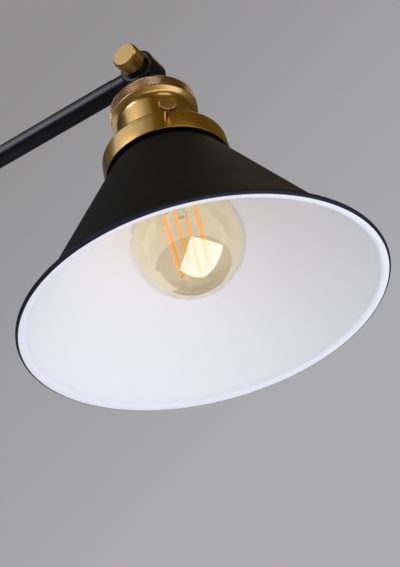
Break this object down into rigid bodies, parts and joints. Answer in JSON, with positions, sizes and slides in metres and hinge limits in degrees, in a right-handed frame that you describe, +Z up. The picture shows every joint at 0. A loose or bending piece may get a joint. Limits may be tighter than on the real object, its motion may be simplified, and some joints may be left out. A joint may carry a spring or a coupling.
{
  "type": "swing arm wall light",
  "caption": "Wall light with a round wall plate, rotary switch, jointed tube arm, brass cup and gallery, and a conical metal shade around a globe bulb.",
  "frame": {"origin": "middle of the wall plate's back, on the wall, between the two wall screw slots", "axes": "+X out of the wall along the arm at rest, +Z up, +Y to the left when seen from the wall looking into the room"},
  "size_m": [0.4381, 0.183, 0.2418],
  "materials": {
    "black_paint": "satin black powder coat",
    "shade_enamel": "satin black outside, white satin inside",
    "brushed_brass": "satin brushed antique brass",
    "raw_brass": "bright rolled brass",
    "rose_brass": "turned reddish brass",
    "plated_steel": "zinc plated",
    "nickel_plate": "nickel plated",
    "white_nylon": "matt",
    "dark_plastic": "moulded phenolic",
    "black_insulation": "smooth vinyl",
    "brown_insulation": "smooth vinyl",
    "blue_insulation": "smooth vinyl",
    "green_insulation": "smooth vinyl",
    "amber_glass": "amber tinted, glossy",
    "clear_glass": "clear",
    "black_glass": "glossy black",
    "amber_phosphor": "orange phosphor"
  },
  "bodies": {
    "wall_base": {"wall_bracket": "plated_steel", "canopy": "black_paint", "canopy_studs": "plated_steel", "cap_nuts": "brushed_brass", "earth_screw": "plated_steel", "terminal_block": "white_nylon", "terminal_sleeves": "raw_brass", "terminal_screws": "plated_steel", "neutral_lead": "blue_insulation", "switched_lead": "black_insulation", "live_lead": "brown_insulation", "earth_lead": "green_insulation", "switch_body": "dark_plastic", "switch_nut": "brushed_brass", "wall_boss": "black_paint", "boss_washer": "plated_steel", "boss_nut": "plated_steel", "swing_bolt": "black_paint", "swing_washer": "black_paint"},
    "switch_dial": {"switch_spindle": "raw_brass", "switch_knob": "brushed_brass"},
    "swing_clamp": {"swing_knob": "brushed_brass"},
    "link": {"link_knuckle": "black_paint", "tilt_bolt": "black_paint", "tilt_washer": "black_paint"},
    "tilt_clamp": {"tilt_knob": "brushed_brass"},
    "arm": {"arm_rear_end": "black_paint", "arm_tube": "black_paint", "arm_front_end": "black_paint", "arm_grub_screws": "plated_steel", "arm_flex": "black_insulation", "head_bolt": "black_paint", "head_washer": "black_paint"},
    "head_clamp": {"head_knob": "brushed_brass"},
    "head": {"head_swivel": "black_paint", "nipple": "plated_steel", "nipple_nut": "plated_steel", "cup_cap": "brushed_brass", "knurled_ring": "brushed_brass", "cup_body": "brushed_brass", "gallery": "brushed_brass", "shade": "shade_enamel", "shade_ring_nut": "dark_plastic", "socket_body": "dark_plastic", "socket_shell": "raw_brass", "socket_contact": "raw_brass", "socket_terminals": "raw_brass", "lamp_live_lead": "brown_insulation", "lamp_neutral_lead": "blue_insulation"},
    "shade_screw_1": {"gallery_screw_1": "rose_brass"},
    "shade_screw_2": {"gallery_screw_2": "rose_brass"},
    "bulb": {"bulb_glass": "amber_glass", "bulb_cap": "nickel_plate", "bulb_insulator": "black_glass", "bulb_contact": "nickel_plate", "bulb_stem": "clear_glass", "bulb_filaments": "amber_phosphor", "bulb_wires": "nickel_plate"}
  },
  "joints": [
    {"name": "arm_swing", "type": "hinge", "parent": "wall_base", "child": "link", "pos_m": [0.044, 0, 0], "axis": [0, 0, 1], "range_deg": [-75, 75]},
    {"name": "arm_tilt", "type": "hinge", "parent": "link", "child": "arm", "pos_m": [0.082, 0, 0], "axis": [0, -1, 0], "range_deg": [-45, 60]},
    {"name": "head_tilt", "type": "hinge", "parent": "arm", "child": "head", "pos_m": [0.332, 0, 0], "axis": [0, -1, 0], "range_deg": [-25, 85]},
    {"name": "switch_turn", "type": "hinge", "parent": "wall_base", "child": "switch_dial", "pos_m": [0.03, 0, -0.04], "axis": [-1, 0, 0], "range_deg": [0, 90]},
    {"name": "swing_clamp_turn", "type": "hinge", "parent": "wall_base", "child": "swing_clamp", "pos_m": [0.044, 0, -0.014], "axis": [0, 0, -1], "range_deg": [0, 360]},
    {"name": "tilt_clamp_turn", "type": "hinge", "parent": "link", "child": "tilt_clamp", "pos_m": [0.082, -0.014, 0], "axis": [0, -1, 0], "range_deg": [0, 360]},
    {"name": "head_clamp_turn", "type": "hinge", "parent": "arm", "child": "head_clamp", "pos_m": [0.332, -0.014, 0], "axis": [0, -1, 0], "range_deg": [0, 360]},
    {"name": "bulb_turn", "type": "hinge", "parent": "head", "child": "bulb", "pos_m": [0.33928, 0, -0.08437], "axis": [0.0859, 0, -0.9963], "range_deg": [0, 360]},
    {"name": "shade_screw_1_turn", "type": "hinge", "parent": "head", "child": "shade_screw_1", "pos_m": [0.36084, -0.03304, -0.07207], "axis": [0.5614, -0.8261, 0.0484], "range_deg": [0, 360]},
    {"name": "shade_screw_2_turn", "type": "hinge", "parent": "head", "child": "shade_screw_2", "pos_m": [0.31593, 0.03304, -0.07595], "axis": [-0.5614, 0.8261, -0.0484], "range_deg": [0, 360]}
  ]
}
